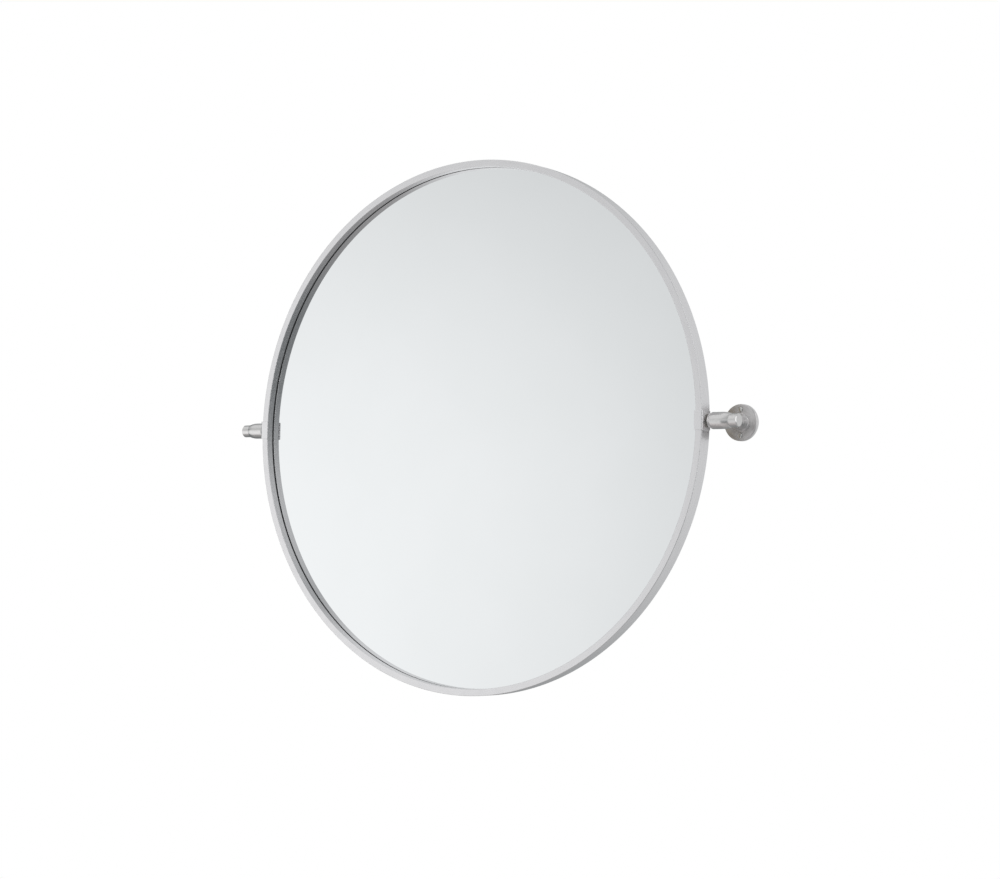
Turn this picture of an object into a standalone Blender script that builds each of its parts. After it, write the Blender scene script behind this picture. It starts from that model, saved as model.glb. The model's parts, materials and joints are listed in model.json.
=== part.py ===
"""Large round pivot mirror for a bathroom wall.

A steel ring holds the mirror glass.  On each side an angle bracket on the ring carries a
pivot pin, which turns in a barrel that stands off the wall on a post and a round flange.
Both pins lie on one horizontal axis, so the mirror tips forward and back.

Units are metres.  X runs along the pivot axis to the viewer's right, Z is up, and the
wall is the plane Y = 0 with the room on its -Y side.  The origin lies on the wall, level
with the pivot axis and midway between the two flanges.
"""

import math
from collections import namedtuple

import bmesh
import bpy
from mathutils import Matrix, Vector

MM = 0.001
GAP = 0.3 * MM                       # clearance left between pieces that touch
PAST = 2.0 * MM                      # how far a cutter runs past the piece that it cuts

PanScrew = namedtuple("PanScrew", "head_radius head_height shank_radius shank_length")

# ---- driving dimensions -------------------------------------------------------------
PIVOT_STANDOFF = 50.0 * MM           # wall to pivot axis
RIM_RADIUS = 381.0 * MM              # outside of the ring: 762 mm, or 30 in, across
RIM_DEPTH = 21.6 * MM
RIM_WALL = 1.6 * MM                  # rolled sheet thickness of the ring
LIP_WIDTH = 9.5 * MM                 # front face of the ring
LIP_DEPTH = 11.6 * MM                # inner wall, from the front face to the gasket
PIVOT_BEHIND_FRONT = 16.4 * MM       # front face of the ring to the pivot axis
RING_DROP = 1.5 * MM                 # the ring's centre hangs this far below the pivot axis
RIM_EDGE = 0.5 * MM                  # eased edges of the ring

GASKET = 1.5 * MM
GASKET_INSET = 0.2 * MM              # its inner edge, behind the inner wall's face
GASKET_CLEAR = 0.1 * MM              # between the inner wall's end and the gasket
GLASS = 3.0 * MM
BOARD = 3.2 * MM
TAB = 1.5 * MM                       # welded tabs behind the board
PANE_RADIUS = RIM_RADIUS - RIM_WALL - 1.0 * MM

FLANGE_RADIUS = 25.0 * MM
FLANGE_THICK = 6.0 * MM
BOSS_RADIUS = 13.0 * MM
BOSS_HEIGHT = 1.5 * MM
POST_RADIUS = 9.0 * MM
SPIGOT_RADIUS = 6.0 * MM
SPIGOT_LENGTH = 10.0 * MM
SCREW_PITCH = 35.5 * MM              # the two wall screws of one flange, centre to centre
SINK_RADIUS = 3.3 * MM               # countersunk head of a wall screw
SINK_DEPTH = 1.7 * MM
SCREW_CROWN = 1.1 * MM               # how far its oval head stands proud
SCREW_SHANK = 1.9 * MM
GRUB_RADIUS = 2.0 * MM               # set screw that holds the post on the flange
GRUB_SUNK = 0.4 * MM
POST_X = 406.0 * MM                  # centre of the post, from the middle of the mirror

PIN_RADIUS = 4.0 * MM
PIN_THREAD = 3.0 * MM
PIN_END = 410.0 * MM
SWAGE_RADIUS = 4.4 * MM              # end of the pin, spread into a countersink in the bracket
SWAGE_DEPTH = 1.0 * MM
WASHER = 0.6 * MM                    # thickness of the spacer and of the friction washer
SPACER_RADIUS = 8.0 * MM
FRICTION_RADIUS = 9.0 * MM
SPRING_WASHER = 1.6 * MM
SPRING_RADIUS = 6.2 * MM
NUT_ACROSS_FLATS = 10.0 * MM
NUT_HEIGHT = 5.0 * MM
STUD_LENGTH = 17.0 * MM
STUD_HOLE = 26.0 * MM                # from the pivot axis to the bottom of the post's hole

BRACKET = 1.5 * MM                   # sheet thickness of the angle bracket
BRACKET_HEIGHT = 26.0 * MM
BRACKET_OVERHANG = 1.5 * MM          # past the inner edge of the ring
BRACKET_REACH = 3.5 * MM             # full-height web, behind the pivot axis
BRACKET_NECK = 16.0 * MM             # height of the narrow leg behind the ring
BRACKET_SCREW = PanScrew(2.6 * MM, 1.6 * MM, 1.25 * MM, 3.6 * MM)
BRACKET_SCREW_AT = RIM_RADIUS - 10.0 * MM
LEG_LENGTH = 19.3 * MM

TAB_COUNT = 8
TAB_SIZE = 16.0 * MM
TAB_SCREW = PanScrew(3.0 * MM, 1.8 * MM, 1.5 * MM, 4.4 * MM)
TAB_SCREW_AT = RIM_RADIUS - 9.0 * MM
PILOT_DEPTH = 2.6 * MM
BUMPER_AT = 366.0 * MM
BUMPER_RADIUS = 5.5 * MM
BUMPER_HEIGHT = 4.8 * MM

# ---- places worked out from them ----------------------------------------------------
FRONT = -PIVOT_STANDOFF - PIVOT_BEHIND_FRONT          # world Y of the ring's front face
BACK = FRONT + RIM_DEPTH
GASKET_FRONT = FRONT + LIP_DEPTH + GASKET_CLEAR
GLASS_FRONT = GASKET_FRONT + GASKET + GAP
BOARD_FRONT = GLASS_FRONT + GLASS + GAP
BOARD_BACK = BOARD_FRONT + BOARD
TAB_FRONT = BACK - TAB
WEB_INSIDE = RIM_RADIUS + GAP
WEB_OUTSIDE = WEB_INSIDE + BRACKET
LEG_FRONT = BACK + GAP
LEG_BACK = LEG_FRONT + BRACKET

BARREL_RADIUS = 11.5 * MM
BARREL_START = WEB_OUTSIDE + 3 * GAP + 2 * WASHER
BARREL_CHAMFER = 1.8 * MM            # at the mirror's end, on the radius
BARREL_CHAMFER_LENGTH = 4.4 * MM
BARREL_CONE = 409.5 * MM             # where the barrel starts to taper
BARREL_END = 416.2 * MM
BARREL_TIP_RADIUS = 9.7 * MM
CAP_RADIUS = 9.0 * MM
CAP_END = 428.8 * MM                 # outermost point of the mirror along X
BORE_FLOOR = 398.0 * MM              # step between the bearing bore and the counterbore
COUNTERBORE = 7.0 * MM
POST_TIP = PIVOT_STANDOFF - BARREL_RADIUS / 2

# Turned pieces are drawn about local Z; these turn local Z to a world direction.
TO_FRONT = Matrix.Rotation(math.radians(90), 4, "X")      # local Z faces the room, -Y
TO_WALL = Matrix.Rotation(math.radians(-90), 4, "X")      # local Z faces the wall, +Y
TO_FLOOR = Matrix.Rotation(math.radians(180), 4, "X")     # local Z faces down
TO_SIDE = {
    +1: Matrix.Rotation(math.radians(90), 4, "Y"),        # local Z faces +X
    -1: Matrix.Rotation(math.radians(-90), 4, "Y"),       # local Z faces -X
}
SIDES = {"right": +1, "left": -1}

FINE = 64                            # steps round the ring, glass and board
ROUND = 28                           # steps round a fitting
SMALL = 20                           # steps round a pin or washer
TINY = 12                            # steps round a screw


# ---- scene, finishes and helpers ----------------------------------------------------
def clear_scene():
    for old in list(bpy.data.objects):
        bpy.data.objects.remove(old, do_unlink=True)


def collection(name):
    made = bpy.data.collections.new(name)
    bpy.context.scene.collection.children.link(made)
    return made


def finish(name, colour, metallic, roughness):
    made = bpy.data.materials.new(name)
    made.use_nodes = True
    shader = made.node_tree.nodes["Principled BSDF"]
    shader.inputs["Base Color"].default_value = (*colour, 1.0)
    shader.inputs["Metallic"].default_value = metallic
    shader.inputs["Roughness"].default_value = roughness
    made.diffuse_color = (*colour, 1.0)
    return made


def evaluated_mesh(source):
    """The mesh of SOURCE with its modifiers applied."""
    bpy.context.view_layer.update()
    graph = bpy.context.evaluated_depsgraph_get()
    return bpy.data.meshes.new_from_object(source.evaluated_get(graph))


def smooth(mesh):
    mesh.shade_smooth()
    mesh.set_sharp_from_angle(angle=math.radians(30))


def settled(shape, smooth_it=True):
    """Turn a construction object into a plain mesh and remove the object."""
    mesh = evaluated_mesh(shape)
    mesh.name = shape.name
    if smooth_it:
        smooth(mesh)
    bpy.data.objects.remove(shape, do_unlink=True)
    return mesh


def turned_mesh(name, profile, steps):
    """Spin PROFILE, (radius, height) pairs down the outer side, round local Z.

    A profile that leaves the axis is closed into a ring.
    """
    mesh = bpy.data.meshes.new(name)
    points = [(radius, 0.0, height) for radius, height in profile]
    edges = [(i, i + 1) for i in range(len(points) - 1)]
    if profile[0][0] > 0:
        edges.append((len(points) - 1, 0))
    mesh.from_pydata(points, edges, [])
    shape = bpy.data.objects.new(name, mesh)
    bpy.context.scene.collection.objects.link(shape)
    spin = shape.modifiers.new("Spin", "SCREW")
    spin.axis = "Z"
    spin.angle = math.tau
    spin.steps = steps
    spin.render_steps = steps
    spin.use_merge_vertices = True
    spin.merge_threshold = 0.00001
    return settled(shape)


def slab_mesh(name, outline, thickness):
    """A flat outline in local XY, given counter-clockwise, solid to THICKNESS about Z = 0."""
    mesh = bpy.data.meshes.new(name)
    points = [(x, y, 0.0) for x, y in outline]
    mesh.from_pydata(points, [], [range(len(points))])
    shape = bpy.data.objects.new(name, mesh)
    bpy.context.scene.collection.objects.link(shape)
    thick = shape.modifiers.new("Thickness", "SOLIDIFY")
    thick.thickness = thickness
    thick.offset = 0.0
    return settled(shape, smooth_it=False)


def box_mesh(name, low, high):
    mesh = bpy.data.meshes.new(name)
    form = bmesh.new()
    bmesh.ops.create_cube(form, size=1.0)
    size = Vector(high) - Vector(low)
    middle = (Vector(high) + Vector(low)) / 2
    bmesh.ops.scale(form, vec=size, verts=form.verts)
    bmesh.ops.translate(form, vec=middle, verts=form.verts)
    form.to_mesh(mesh)
    form.free()
    return mesh


def rod_mesh(name, radius, low, high, steps=SMALL):
    """A plain cylinder or prism along local Z, from LOW to HIGH."""
    mesh = bpy.data.meshes.new(name)
    form = bmesh.new()
    bmesh.ops.create_cone(
        form, cap_ends=True, segments=steps, radius1=radius, radius2=radius, depth=high - low)
    bmesh.ops.translate(form, vec=(0, 0, (low + high) / 2), verts=form.verts)
    form.to_mesh(mesh)
    form.free()
    return mesh


def placed(name, mesh, group, holder, location, turn=Matrix.Identity(4)):
    """Put MESH in the scene at a world LOCATION, held by the empty HOLDER."""
    piece = bpy.data.objects.new(name, mesh)
    group.objects.link(piece)
    piece.parent = holder
    piece.location = Vector(location) - holder.location
    piece.rotation_euler = turn.to_euler()
    return piece


def combine(body, tool, operation):
    step = body.modifiers.new(operation.title(), "BOOLEAN")
    step.operation = operation
    step.object = tool
    step.solver = "EXACT"


# ---- profiles -----------------------------------------------------------------------
def pan_screw(name, size):
    """A pan-head screw: the underside of its head at Z = 0, the shank below it."""
    body = turned_mesh(name, [
        (0.0, size.head_height),
        (0.75 * size.head_radius, 0.85 * size.head_height),
        (size.head_radius, 0.0),
        (size.shank_radius, 0.0),
        (size.shank_radius, -size.shank_length),
        (0.0, -size.shank_length),
    ], TINY)
    return recessed(body, cross_recess(size.head_radius), size.head_height)


def wall_screw():
    """An oval countersunk screw: the flange's face at Z = 0, the shank to the wall plane."""
    tip = 0.1 * MM - FLANGE_THICK
    body = turned_mesh("wall_screw", [
        (0.0, SCREW_CROWN),
        (0.58 * SINK_RADIUS, 0.77 * SCREW_CROWN),
        (SINK_RADIUS, 0.0),
        (SCREW_SHANK, -SINK_DEPTH),
        (SCREW_SHANK, tip),
        (0.0, tip),
    ], TINY)
    return recessed(body, cross_recess(SINK_RADIUS), SCREW_CROWN)


def cross_recess(head_radius):
    """A plus-shaped cutter in proportion to a screw head, as far above Z = 0 as below it."""
    half = 0.135 * head_radius
    arm = 0.54 * head_radius
    depth = 0.35 * head_radius
    outline = [
        (half, half), (half, arm), (-half, arm), (-half, half), (-arm, half), (-arm, -half),
        (-half, -half), (-half, -arm), (half, -arm), (half, -half), (arm, -half), (arm, half),
    ]
    return slab_mesh("cross_recess", outline, 2 * depth)


def recessed(mesh, cutter_mesh, at):
    """Cut CUTTER_MESH, raised to height AT, out of MESH."""
    body = bpy.data.objects.new(mesh.name, mesh)
    tool = bpy.data.objects.new("recess", cutter_mesh)
    for item in (body, tool):
        bpy.context.scene.collection.objects.link(item)
    tool.location.z = at
    combine(body, tool, "DIFFERENCE")
    made = settled(body)
    bpy.data.objects.remove(tool, do_unlink=True)
    return made


def ring_section():
    """Section of the rolled ring: outer wall, front face and a shorter inner wall."""
    outer = RIM_RADIUS
    inner = RIM_RADIUS - LIP_WIDTH
    return [
        (outer - RIM_EDGE, 0.0),
        (outer, -RIM_EDGE),
        (outer, -RIM_DEPTH),
        (outer - RIM_WALL, -RIM_DEPTH),
        (outer - RIM_WALL, -RIM_WALL),
        (inner + RIM_WALL, -RIM_WALL),
        (inner + RIM_WALL, -LIP_DEPTH),
        (inner, -LIP_DEPTH),
        (inner, -RIM_EDGE),
        (inner + RIM_EDGE, 0.0),
    ]


def ring_band(outer, inner, thickness):
    return [(outer, 0.0), (outer, -thickness), (inner, -thickness), (inner, 0.0)]


def disc(radius, thickness, ease):
    """A disc below Z = 0 with an eased upper edge."""
    return [
        (0.0, 0.0), (radius - ease, 0.0), (radius, -ease), (radius, -thickness),
        (0.0, -thickness),
    ]


def flange_profile():
    """Z = 0 is the wall plane; the spigot for the post points into the room."""
    rim = 1.2 * MM
    face = FLANGE_THICK
    boss = face + BOSS_HEIGHT
    return [
        (0.0, boss + SPIGOT_LENGTH),
        (SPIGOT_RADIUS, boss + SPIGOT_LENGTH),
        (SPIGOT_RADIUS, boss),
        (BOSS_RADIUS - 0.8 * MM, boss),
        (BOSS_RADIUS, face),
        (FLANGE_RADIUS - rim, face),
        (FLANGE_RADIUS - 0.3 * rim, face - 0.3 * rim),
        (FLANGE_RADIUS, face - rim),
        (FLANGE_RADIUS, 0.0),
        (0.0, 0.0),
    ]


def post_profile():
    """Z = 0 is the wall plane; the tip is longer than needed and is coped to the barrel."""
    foot = FLANGE_THICK + BOSS_HEIGHT + GAP
    socket = foot + SPIGOT_LENGTH + GAP
    return [
        (0.0, POST_TIP),
        (POST_RADIUS, POST_TIP),
        (POST_RADIUS, foot + 0.6 * MM),
        (POST_RADIUS - 0.6 * MM, foot),
        (SPIGOT_RADIUS + GAP, foot),
        (SPIGOT_RADIUS + GAP, socket),
        (0.0, socket),
    ]


def barrel_profile():
    """Z is the distance from the middle of the mirror."""
    edge = 0.3 * MM
    return [
        (BARREL_TIP_RADIUS - edge, BARREL_END),
        (BARREL_TIP_RADIUS, BARREL_END - edge),
        (BARREL_RADIUS, BARREL_CONE),
        (BARREL_RADIUS, BARREL_START + BARREL_CHAMFER_LENGTH),
        (BARREL_RADIUS - BARREL_CHAMFER, BARREL_START),
        (PIN_RADIUS + GAP, BARREL_START),
        (PIN_RADIUS + GAP, BORE_FLOOR),
        (COUNTERBORE, BORE_FLOOR),
        (COUNTERBORE, BARREL_END),
    ]


def cap_profile():
    """Z as for the barrel: a plug that fills its counterbore, and a nose."""
    chamfer = 0.9 * MM
    shoulder = BARREL_END + GAP
    plug_radius = COUNTERBORE - 1.4 * GAP
    plug_start = PIN_END + 1.0 * MM
    return [
        (0.0, CAP_END),
        (CAP_RADIUS - chamfer, CAP_END),
        (CAP_RADIUS, CAP_END - chamfer),
        (CAP_RADIUS, shoulder),
        (plug_radius, shoulder),
        (plug_radius, plug_start),
        (0.0, plug_start),
    ]


def cope_profile():
    """What the post is coped to: the barrel's outside with a gap round it."""
    return [
        (0.0, BARREL_END),
        (BARREL_TIP_RADIUS + GAP, BARREL_END),
        (BARREL_RADIUS + GAP, BARREL_CONE),
        (BARREL_RADIUS + GAP, BARREL_START),
        (0.0, BARREL_START),
    ]


def pin_profile():
    return [
        (0.0, PIN_END),
        (PIN_THREAD, PIN_END),
        (PIN_THREAD, BORE_FLOOR - GAP),
        (PIN_RADIUS, BORE_FLOOR - GAP),
        (PIN_RADIUS, WEB_OUTSIDE + GAP),
        (PIN_THREAD, WEB_OUTSIDE + GAP),
        (PIN_THREAD, WEB_INSIDE + SWAGE_DEPTH),
        (SWAGE_RADIUS, WEB_INSIDE),
        (0.0, WEB_INSIDE),
    ]


def pin_seat_profile():
    """The hole in the bracket's web, countersunk from the ring's side."""
    bore = PIN_THREAD + GAP
    sink = SWAGE_RADIUS + 1.4 * GAP
    return [
        (0.0, WEB_OUTSIDE + PAST),
        (bore, WEB_OUTSIDE + PAST),
        (bore, WEB_INSIDE + SWAGE_DEPTH),
        (sink, WEB_INSIDE),
        (sink, WEB_INSIDE - PAST),
        (0.0, WEB_INSIDE - PAST),
    ]


def washer(outer, inner, start, end):
    return [(outer, end), (outer, start), (inner, start), (inner, end)]


def bumper_profile():
    return [
        (0.0, BUMPER_HEIGHT),
        (0.45 * BUMPER_RADIUS, 0.92 * BUMPER_HEIGHT),
        (0.8 * BUMPER_RADIUS, 0.66 * BUMPER_HEIGHT),
        (BUMPER_RADIUS, 0.2 * BUMPER_HEIGHT),
        (BUMPER_RADIUS, 0.0),
        (0.0, 0.0),
    ]


# ---- the scene's groups -------------------------------------------------------------
clear_scene()
mirror = collection("pivot_wall_mirror")
cutters = collection("cutters")

satin_steel = finish("satin_steel", (0.62, 0.62, 0.61), 1.0, 0.36)
fitting_steel = finish("fitting_steel", (0.56, 0.56, 0.55), 1.0, 0.24)
screw_steel = finish("screw_steel", (0.50, 0.49, 0.47), 1.0, 0.30)
silvered_glass = finish("silvered_glass", (0.92, 0.93, 0.94), 1.0, 0.03)
black_rubber = finish("black_rubber", (0.03, 0.03, 0.03), 0.0, 0.7)
nylon = finish("nylon", (0.72, 0.70, 0.64), 0.0, 0.5)
fibreboard = finish("fibreboard", (0.50, 0.45, 0.38), 0.0, 0.8)


def empty(name, location):
    made = bpy.data.objects.new(name, None)
    made.location = location
    mirror.objects.link(made)
    return made


wall_origin = empty("wall_origin", (0, 0, 0))
mirror_pivot = empty("mirror_pivot", (0, -PIVOT_STANDOFF, 0))


def piece(name, mesh, coat, holder, location, turn=Matrix.Identity(4)):
    made = placed(name, mesh, mirror, holder, location, turn)
    if not mesh.materials:
        mesh.materials.append(coat)
    return made


def cutter(name, mesh, holder, location, turn=Matrix.Identity(4)):
    made = placed("cut_" + name, mesh, cutters, holder, location, turn)
    made.display_type = "WIRE"
    made.hide_render = True
    return made


# ---- the mirror head ----------------------------------------------------------------
def around(angle, radius, depth):
    """A world point on the mirror, ANGLE degrees from +X towards the top of the ring."""
    turn = math.radians(angle)
    return (radius * math.cos(turn), depth, radius * math.sin(turn) - RING_DROP)


def tab_angles():
    return [(i + 0.5) * 360.0 / TAB_COUNT for i in range(TAB_COUNT)]


def make_ring():
    ring = piece("frame_ring", turned_mesh("frame_ring", ring_section(), FINE),
                 satin_steel, mirror_pivot, (0, FRONT, -RING_DROP), TO_FRONT)
    inner_end = RIM_RADIUS - TAB_SIZE - RIM_WALL
    outer_end = RIM_RADIUS - RIM_WALL / 2
    tab = box_mesh("tab", (inner_end, TAB_FRONT, -TAB_SIZE / 2), (outer_end, BACK, TAB_SIZE / 2))
    drill = rod_mesh("tab_drill", TAB_SCREW.shank_radius + GAP, -PAST, TAB + PAST, TINY)
    places = [(angle, -RING_DROP) for angle in tab_angles()]
    places += [(0.0, 0.0), (180.0, 0.0)]             # the two that carry the brackets
    for i, (angle, height) in enumerate(places, start=1):
        swing = Matrix.Rotation(math.radians(-angle), 4, "Y")
        form = cutter(f"tab_{i}", tab, mirror_pivot, (0, 0, height), swing)
        combine(ring, form, "UNION")
    for i, angle in enumerate(tab_angles(), start=1):
        hole = around(angle, TAB_SCREW_AT, TAB_FRONT)
        combine(ring, cutter(f"tab_hole_{i}", drill, mirror_pivot, hole, TO_WALL), "DIFFERENCE")
    return ring


def make_pane():
    gasket = ring_band(PANE_RADIUS, RIM_RADIUS - LIP_WIDTH + GASKET_INSET, GASKET)
    piece("glazing_gasket", turned_mesh("glazing_gasket", gasket, FINE),
          black_rubber, mirror_pivot, (0, GASKET_FRONT, -RING_DROP), TO_FRONT)
    piece("mirror_glass", turned_mesh("mirror_glass", disc(PANE_RADIUS, GLASS, 0.3 * MM), FINE),
          silvered_glass, mirror_pivot, (0, GLASS_FRONT, -RING_DROP), TO_FRONT)
    board = piece("backing_board",
                  turned_mesh("backing_board", disc(PANE_RADIUS, BOARD, 0.3 * MM), FINE),
                  fibreboard, mirror_pivot, (0, BOARD_FRONT, -RING_DROP), TO_FRONT)
    pilot = rod_mesh("pilot_drill", TAB_SCREW.shank_radius + GAP, -PILOT_DEPTH, PAST, TINY)
    screw = pan_screw("tab_screw", TAB_SCREW)
    for i, angle in enumerate(tab_angles(), start=1):
        hole = around(angle, TAB_SCREW_AT, BOARD_BACK)
        combine(board, cutter(f"pilot_{i}", pilot, mirror_pivot, hole, TO_WALL), "DIFFERENCE")
        seat = around(angle, TAB_SCREW_AT, BACK + GAP)
        piece(f"tab_screw_{i}", screw, screw_steel, mirror_pivot, seat, TO_WALL)
    bumper = turned_mesh("wall_bumper", bumper_profile(), TINY)
    for name, angle in (("upper", 90), ("lower", -90)):
        seat = around(angle, BUMPER_AT, BOARD_BACK + GAP)
        piece(f"wall_bumper_{name}", bumper, black_rubber, mirror_pivot, seat, TO_WALL)


def bracket_outline(side):
    """The bracket from above: front plate, web and rear leg round the ring."""
    pivot = -PIVOT_STANDOFF
    plate_back = FRONT - GAP
    plate_front = plate_back - BRACKET
    plate_end = RIM_RADIUS - LIP_WIDTH - BRACKET_OVERHANG
    leg_end = WEB_OUTSIDE - LEG_LENGTH
    bend = 0.8 * MM
    points = [
        (plate_end, plate_front), (WEB_OUTSIDE - bend, plate_front),
        (WEB_OUTSIDE - 0.3 * bend, plate_front + 0.3 * bend), (WEB_OUTSIDE, plate_front + bend),
        (WEB_OUTSIDE, LEG_BACK - bend), (WEB_OUTSIDE - 0.3 * bend, LEG_BACK - 0.3 * bend),
        (WEB_OUTSIDE - bend, LEG_BACK), (leg_end, LEG_BACK), (leg_end, LEG_FRONT),
        (WEB_INSIDE, LEG_FRONT), (WEB_INSIDE, plate_back), (plate_end, plate_back),
    ]
    points = [(side * x, y - pivot) for x, y in points]
    return points if side > 0 else points[::-1]


def make_bracket(where, side):
    outline = bracket_outline(side)
    bracket = piece(f"frame_bracket_{where}", slab_mesh("bracket", outline, BRACKET_HEIGHT),
                    satin_steel, mirror_pivot, mirror_pivot.location)
    reach = -PIVOT_STANDOFF + BRACKET_REACH
    far = LEG_BACK + PAST
    start = side * (WEB_OUTSIDE + PAST)
    stop = side * (WEB_OUTSIDE - LEG_LENGTH - PAST)
    for name, sign in (("above", +1), ("below", -1)):
        edges = (sign * BRACKET_NECK / 2, sign * BRACKET_HEIGHT)
        low = (min(start, stop), reach, min(edges))
        high = (max(start, stop), far, max(edges))
        trim = cutter(f"neck_{name}_{where}", box_mesh("neck", low, high),
                      mirror_pivot, (0, 0, 0))
        combine(bracket, trim, "DIFFERENCE")
    seat = turned_mesh("pin_seat", pin_seat_profile(), SMALL)
    drill = cutter(f"pin_hole_{where}", seat, mirror_pivot, mirror_pivot.location, TO_SIDE[side])
    combine(bracket, drill, "DIFFERENCE")

    screw = pan_screw("bracket_screw", BRACKET_SCREW)
    deep = BRACKET + TAB + GAP + PAST
    hole = rod_mesh("bracket_drill", BRACKET_SCREW.shank_radius + GAP, -deep, PAST, TINY)
    ring = bpy.data.objects["frame_ring"]
    for name, sign in (("upper", +1), ("lower", -1)):
        at = (side * BRACKET_SCREW_AT, LEG_BACK + GAP, sign * BRACKET_NECK * 0.3)
        drill = cutter(f"bracket_hole_{name}_{where}", hole, mirror_pivot, at, TO_WALL)
        combine(bracket, drill, "DIFFERENCE")
        combine(ring, drill, "DIFFERENCE")
        piece(f"bracket_screw_{name}_{where}", screw, screw_steel, mirror_pivot, at, TO_WALL)


def make_pivot(where, side):
    turn = TO_SIDE[side]
    axis = mirror_pivot.location
    piece(f"pivot_pin_{where}", turned_mesh("pivot_pin", pin_profile(), SMALL),
          screw_steel, mirror_pivot, axis, turn)

    spacer_start = WEB_OUTSIDE + GAP
    spacer_end = spacer_start + WASHER
    spacer = washer(SPACER_RADIUS, PIN_RADIUS + GAP, spacer_start, spacer_end)
    piece(f"spacer_washer_{where}", turned_mesh("spacer_washer", spacer, SMALL),
          fitting_steel, mirror_pivot, axis, turn)

    friction_start = spacer_end + GAP
    friction = washer(FRICTION_RADIUS, PIN_RADIUS + GAP, friction_start, friction_start + WASHER)
    piece(f"friction_washer_{where}", turned_mesh("friction_washer", friction, SMALL),
          nylon, wall_origin, axis, turn)

    spring_start = BORE_FLOOR + GAP
    spring_end = spring_start + SPRING_WASHER
    spring = washer(SPRING_RADIUS, PIN_THREAD + GAP, spring_start, spring_end)
    piece(f"spring_washer_{where}", turned_mesh("spring_washer", spring, SMALL),
          screw_steel, mirror_pivot, axis, turn)

    nut_start = spring_end + GAP
    nut_end = nut_start + NUT_HEIGHT
    corner = NUT_ACROSS_FLATS / math.sqrt(3)
    nut = piece(f"lock_nut_{where}", rod_mesh("lock_nut", corner, nut_start, nut_end, 6),
                screw_steel, mirror_pivot, axis, turn)
    thread = rod_mesh("nut_drill", PIN_THREAD + GAP, nut_start - PAST, nut_end + PAST)
    combine(nut, cutter(f"nut_hole_{where}", thread, mirror_pivot, axis, turn), "DIFFERENCE")


# ---- the wall mounts ----------------------------------------------------------------
def make_flange(where, side):
    centre = (side * POST_X, 0, 0)
    flange = piece(f"wall_flange_{where}", turned_mesh("wall_flange", flange_profile(), ROUND),
                   fitting_steel, wall_origin, centre, TO_FRONT)
    sink = turned_mesh("countersink", [
        (0.0, SCREW_CROWN + PAST),
        (SINK_RADIUS + GAP, SCREW_CROWN + PAST),
        (SINK_RADIUS + GAP, -0.2 * MM),
        (SCREW_SHANK + GAP, -SINK_DEPTH - GAP),
        (SCREW_SHANK + GAP, -FLANGE_THICK - PAST),
        (0.0, -FLANGE_THICK - PAST),
    ], TINY)
    screw = wall_screw()
    for name, sign in (("upper", +1), ("lower", -1)):
        at = (side * POST_X, -FLANGE_THICK, sign * SCREW_PITCH / 2)
        hole = cutter(f"countersink_{name}_{where}", sink, wall_origin, at, TO_FRONT)
        combine(flange, hole, "DIFFERENCE")
        piece(f"flange_screw_{name}_{where}", screw, screw_steel, wall_origin, at, TO_FRONT)


def make_post(where, side):
    centre = (side * POST_X, 0, 0)
    post = piece(f"wall_post_{where}", turned_mesh("wall_post", post_profile(), ROUND),
                 fitting_steel, wall_origin, centre, TO_FRONT)
    bottom = PIVOT_STANDOFF - STUD_HOLE
    drill = rod_mesh("stud_drill", PIN_THREAD + GAP, bottom, POST_TIP + PAST)
    combine(post, cutter(f"stud_hole_{where}", drill, wall_origin, centre, TO_FRONT),
            "DIFFERENCE")
    cope = cutter(f"cope_{where}", turned_mesh("cope", cope_profile(), ROUND),
                  wall_origin, mirror_pivot.location, TO_SIDE[side])
    combine(post, cope, "DIFFERENCE")

    grub_at = (side * POST_X, -FLANGE_THICK - BOSS_HEIGHT - SPIGOT_LENGTH / 2, 0)
    grub_end = POST_RADIUS - GRUB_SUNK
    grub_hole = rod_mesh("grub_drill", GRUB_RADIUS + GAP, SPIGOT_RADIUS, POST_RADIUS + PAST, TINY)
    combine(post, cutter(f"grub_hole_{where}", grub_hole, wall_origin, grub_at, TO_FLOOR),
            "DIFFERENCE")
    grub = rod_mesh("grub", GRUB_RADIUS, SPIGOT_RADIUS + GAP, grub_end, TINY)
    key = rod_mesh("hex_key", 0.58 * GRUB_RADIUS, -0.6 * GRUB_RADIUS, 0.6 * GRUB_RADIUS, 6)
    piece(f"post_set_screw_{where}", recessed(grub, key, grub_end),
          screw_steel, wall_origin, grub_at, TO_FLOOR)

    stud = turned_mesh("post_stud", disc(PIN_THREAD, STUD_LENGTH, 0.4 * MM), TINY)
    stud_at = (side * POST_X, -PIVOT_STANDOFF + COUNTERBORE + 2 * GAP, 0)
    piece(f"post_stud_{where}", stud, screw_steel, wall_origin, stud_at, TO_FRONT)


def make_barrel(where, side):
    axis = mirror_pivot.location
    turn = TO_SIDE[side]
    barrel = piece(f"pivot_barrel_{where}", turned_mesh("pivot_barrel", barrel_profile(), ROUND),
                   fitting_steel, wall_origin, axis, turn)
    hole = rod_mesh("cross_drill", PIN_THREAD + GAP, COUNTERBORE - PAST, BARREL_RADIUS + PAST)
    at = (side * POST_X, -PIVOT_STANDOFF, 0)
    combine(barrel, cutter(f"cross_hole_{where}", hole, wall_origin, at, TO_WALL), "DIFFERENCE")
    piece(f"end_cap_{where}", turned_mesh("end_cap", cap_profile(), ROUND),
          fitting_steel, wall_origin, axis, turn)


make_ring()
make_pane()
for where, side in SIDES.items():
    make_bracket(where, side)
    make_pivot(where, side)
    make_flange(where, side)
    make_post(where, side)
    make_barrel(where, side)
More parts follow.
